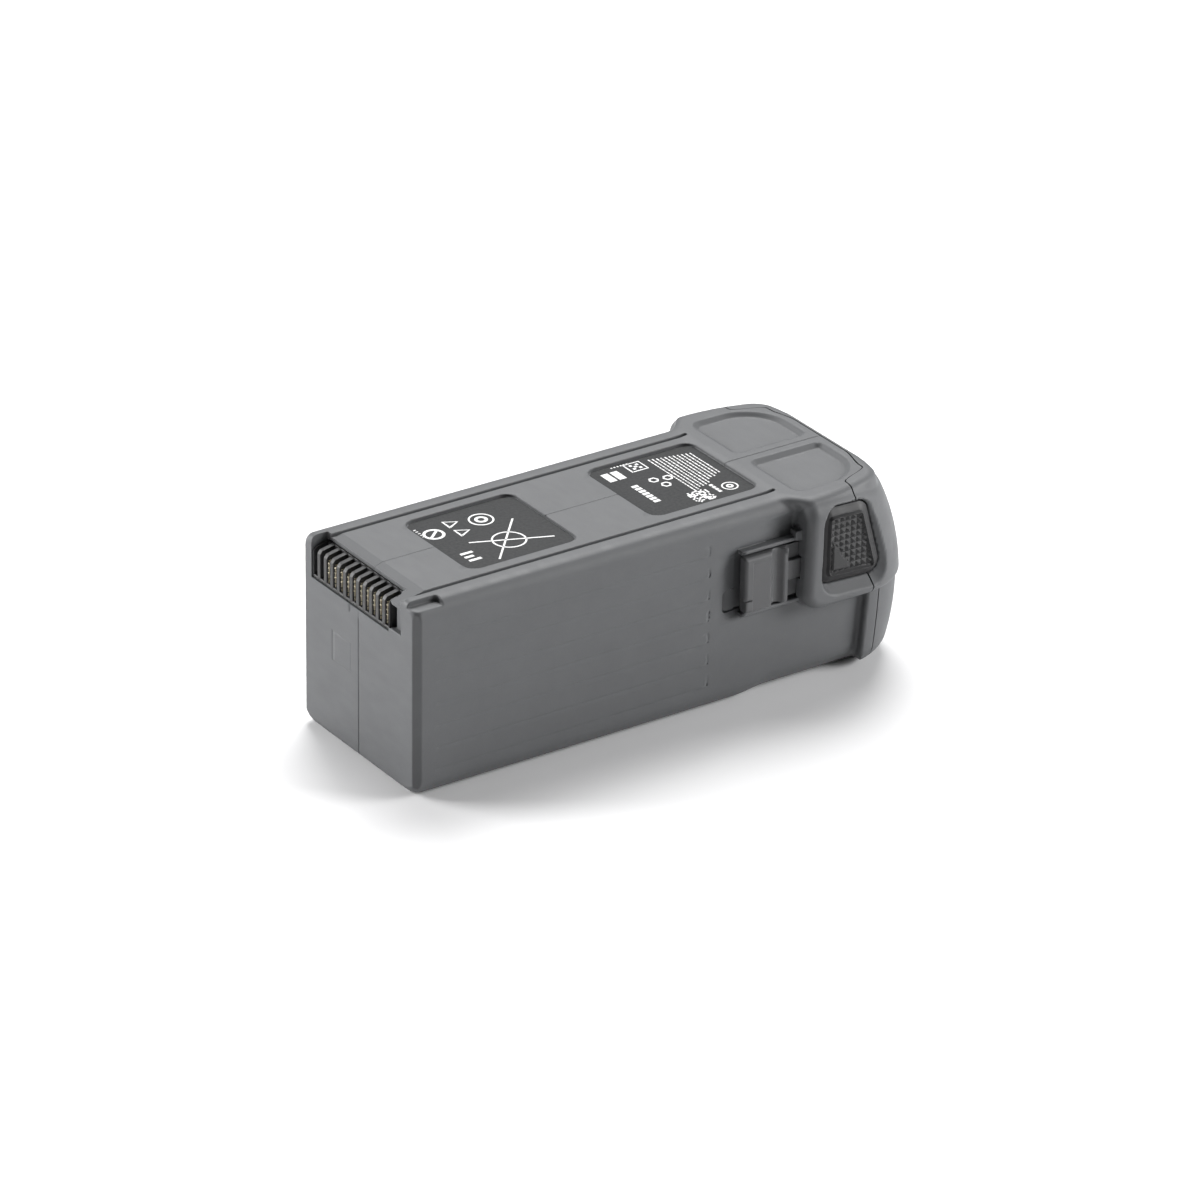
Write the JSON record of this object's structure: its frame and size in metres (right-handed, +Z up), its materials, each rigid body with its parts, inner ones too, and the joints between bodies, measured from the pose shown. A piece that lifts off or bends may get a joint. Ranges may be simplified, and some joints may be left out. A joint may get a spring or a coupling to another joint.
{
  "type": "slide-in battery pack",
  "caption": "Slide-in battery pack: two-half grey case, slotted blade contact block, bulged end cap with sprung side releases and a power button.",
  "frame": {"origin": "middle of the pack's overall length and width, on the plane it rests on", "axes": "+X from the contact end to the cap, +Z up, -Y towards the right-hand release"},
  "size_m": [0.128, 0.0544, 0.045],
  "materials": {
    "case_plastic": "fine spark-eroded texture",
    "cap_plastic": "fine spark-eroded texture",
    "contact_plastic": "moulded, slightly satin",
    "contact_metal": "plated, worn where the blades rub",
    "label_film": "printed film, satin",
    "button_plastic": "moulded, grip texture",
    "latch_plastic": "moulded, satin",
    "spring_steel": "drawn wire",
    "key_plastic": "moulded, satin",
    "light_plastic": "translucent",
    "pouch_foil": "laminated foil",
    "nickel": "rolled strip",
    "foam": "closed-cell foam",
    "insulation_film": "insulating film",
    "circuit_board": "solder mask",
    "chip_plastic": "moulded package",
    "resistor_metal": "rolled alloy",
    "screw_steel": "zinc plated",
    "frame_plastic": "natural moulding",
    "ribbon_film": "flexible circuit"
  },
  "bodies": {
    "pack": {"left_shell": "case_plastic", "right_shell": "case_plastic", "end_cap": "cap_plastic", "contact_housing": "contact_plastic", "contact_blades": "contact_metal", "front_label": "label_film", "rear_label": "label_film", "left_spring": "spring_steel", "right_spring": "spring_steel", "light_guide": "light_plastic", "cell_1": "pouch_foil", "cell_2": "pouch_foil", "cell_3": "pouch_foil", "cell_4": "pouch_foil", "cell_tabs": "nickel", "pad_1": "foam", "pad_2": "foam", "pad_3": "foam", "cell_sleeve": "insulation_film", "main_board": "circuit_board", "power_switches": "chip_plastic", "gauge_chip": "chip_plastic", "sense_resistor": "resistor_metal", "thermistor": "chip_plastic", "board_screws": "screw_steel", "end_frame": "frame_plastic", "frame_screws": "screw_steel", "key_board": "circuit_board", "key_switch": "chip_plastic", "status_lights": "light_plastic", "ribbon": "ribbon_film"},
    "left_release": {"left_button": "button_plastic", "left_latch": "latch_plastic"},
    "right_release": {"right_button": "button_plastic", "right_latch": "latch_plastic"},
    "power_key": {"power_button": "key_plastic"}
  },
  "joints": [
    {"name": "right_press", "type": "slide", "parent": "pack", "child": "right_release", "axis": [0, 1, 0], "range_m": [0, 0.0018], "stiffness_N_per_m": 900, "springref_m": -0.0016, "deforming": ["right_spring"]},
    {"name": "left_press", "type": "slide", "parent": "pack", "child": "left_release", "axis": [0, -1, 0], "range_m": [0, 0.0018], "stiffness_N_per_m": 900, "springref_m": -0.0016, "deforming": ["left_spring"]},
    {"name": "power_press", "type": "slide", "parent": "pack", "child": "power_key", "axis": [-1, 0, 0], "range_m": [0, 0.0004], "stiffness_N_per_m": 2500, "springref_m": -0.0003}
  ]
}
